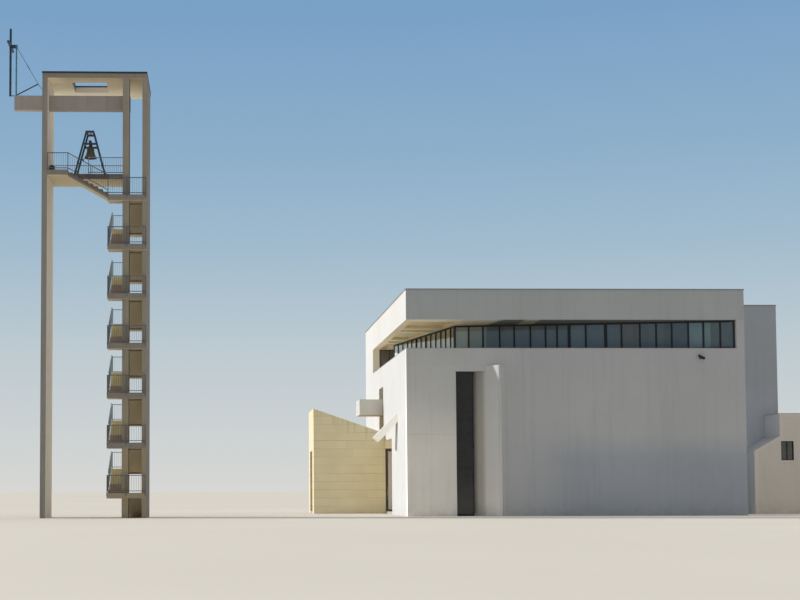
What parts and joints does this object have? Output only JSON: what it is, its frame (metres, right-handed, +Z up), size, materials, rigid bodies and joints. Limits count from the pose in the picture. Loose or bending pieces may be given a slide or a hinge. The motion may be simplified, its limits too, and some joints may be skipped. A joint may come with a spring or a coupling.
{
  "type": "modern church building with a bell tower, 1:2 scale model",
  "caption": "Scale model of a modern white church hall with low side wings and a tall open concrete bell tower with stairs, bell and cross.",
  "frame": {"origin": "centre of the hall's plan at ground level", "axes": "+X along the front to the right, +Y back from the front, +Z up"},
  "size_m": [26.91, 13.7, 15],
  "materials": {
    "white_plaster": "matt",
    "cream_stone": "matt",
    "beige_render": "matt",
    "cast_concrete": "matt",
    "dark_metal": "satin",
    "window_glass": "gloss",
    "railing_steel": "satin",
    "bell_bronze": "satin"
  },
  "bodies": {
    "church": {"hall_front_wall": "white_plaster", "hall_west_wall": "white_plaster", "hall_back_wall": "white_plaster", "hall_east_wall": "white_plaster", "hall_roof": "white_plaster", "loggia_floor": "white_plaster", "loggia_end_wall": "white_plaster", "blade_wall": "white_plaster", "light_box": "white_plaster", "leaning_fin": "white_plaster", "porch_walls": "white_plaster", "east_block_walls": "white_plaster", "east_block_roof": "white_plaster", "wing_walls": "cream_stone", "wing_roof": "cream_stone", "east_wing_walls": "beige_render", "east_wing_roof": "beige_render", "east_wing_low_roof": "beige_render", "hall_floor": "cast_concrete", "wing_floor": "cast_concrete", "tower_leg": "cast_concrete", "tower_column": "cast_concrete", "tower_spine_wall": "cast_concrete", "tower_beam": "cast_concrete", "tower_roof": "cast_concrete", "tower_stair_entry": "cast_concrete", "belfry_deck": "cast_concrete", "tower_stair_1": "cast_concrete", "tower_stair_2": "cast_concrete", "tower_stair_3": "cast_concrete", "tower_stair_4": "cast_concrete", "tower_stair_5": "cast_concrete", "tower_stair_6": "cast_concrete", "clerestory_frame": "dark_metal", "porch_door_frame": "dark_metal", "bell_trestle": "dark_metal", "bell_hammer": "dark_metal", "cross_frame": "dark_metal", "loggia_end_window": "window_glass", "clerestory_glass": "window_glass", "slot_glass": "window_glass", "west_slot_glass": "window_glass", "east_wing_window": "window_glass", "belfry_stair_railing": "railing_steel", "belfry_platform_railing": "railing_steel", "stair_railing_1": "railing_steel", "stair_railing_2": "railing_steel", "stair_railing_3": "railing_steel", "stair_railing_4": "railing_steel", "stair_railing_5": "railing_steel", "stair_railing_6": "railing_steel"},
    "bell_body": {"bell": "bell_bronze", "bell_headstock": "dark_metal"},
    "clapper": {"bell_clapper": "dark_metal"},
    "porch_door": {"porch_door_leaf": "dark_metal", "porch_door_glass": "window_glass"},
    "main_door_near": {"main_door_near_leaf": "dark_metal"},
    "main_door_far": {"main_door_far_leaf": "dark_metal"}
  },
  "joints": [
    {"name": "bell_swing", "type": "hinge", "parent": "church", "child": "bell_body", "pos_m": [-15.185, -6.475, 11.575], "axis": [0, 1, 0], "range_deg": [-30, 30]},
    {"name": "clapper_swing", "type": "hinge", "parent": "bell_body", "child": "clapper", "pos_m": [-15.185, -6.475, 11.44], "axis": [0, 1, 0], "range_deg": [-18, 18]},
    {"name": "porch_door_hinge", "type": "hinge", "parent": "church", "child": "porch_door", "pos_m": [-4.737, -0.315, 0.1], "axis": [0, 0, 1], "range_deg": [0, 90]},
    {"name": "main_door_near_hinge", "type": "hinge", "parent": "church", "child": "main_door_near", "pos_m": [-7.69, 0.407, 0.1], "axis": [0, 0, -1], "range_deg": [0, 90]},
    {"name": "main_door_far_hinge", "type": "hinge", "parent": "church", "child": "main_door_far", "pos_m": [-7.69, 1.618, 0.1], "axis": [0, 0, 1], "range_deg": [0, 90]}
  ]
}
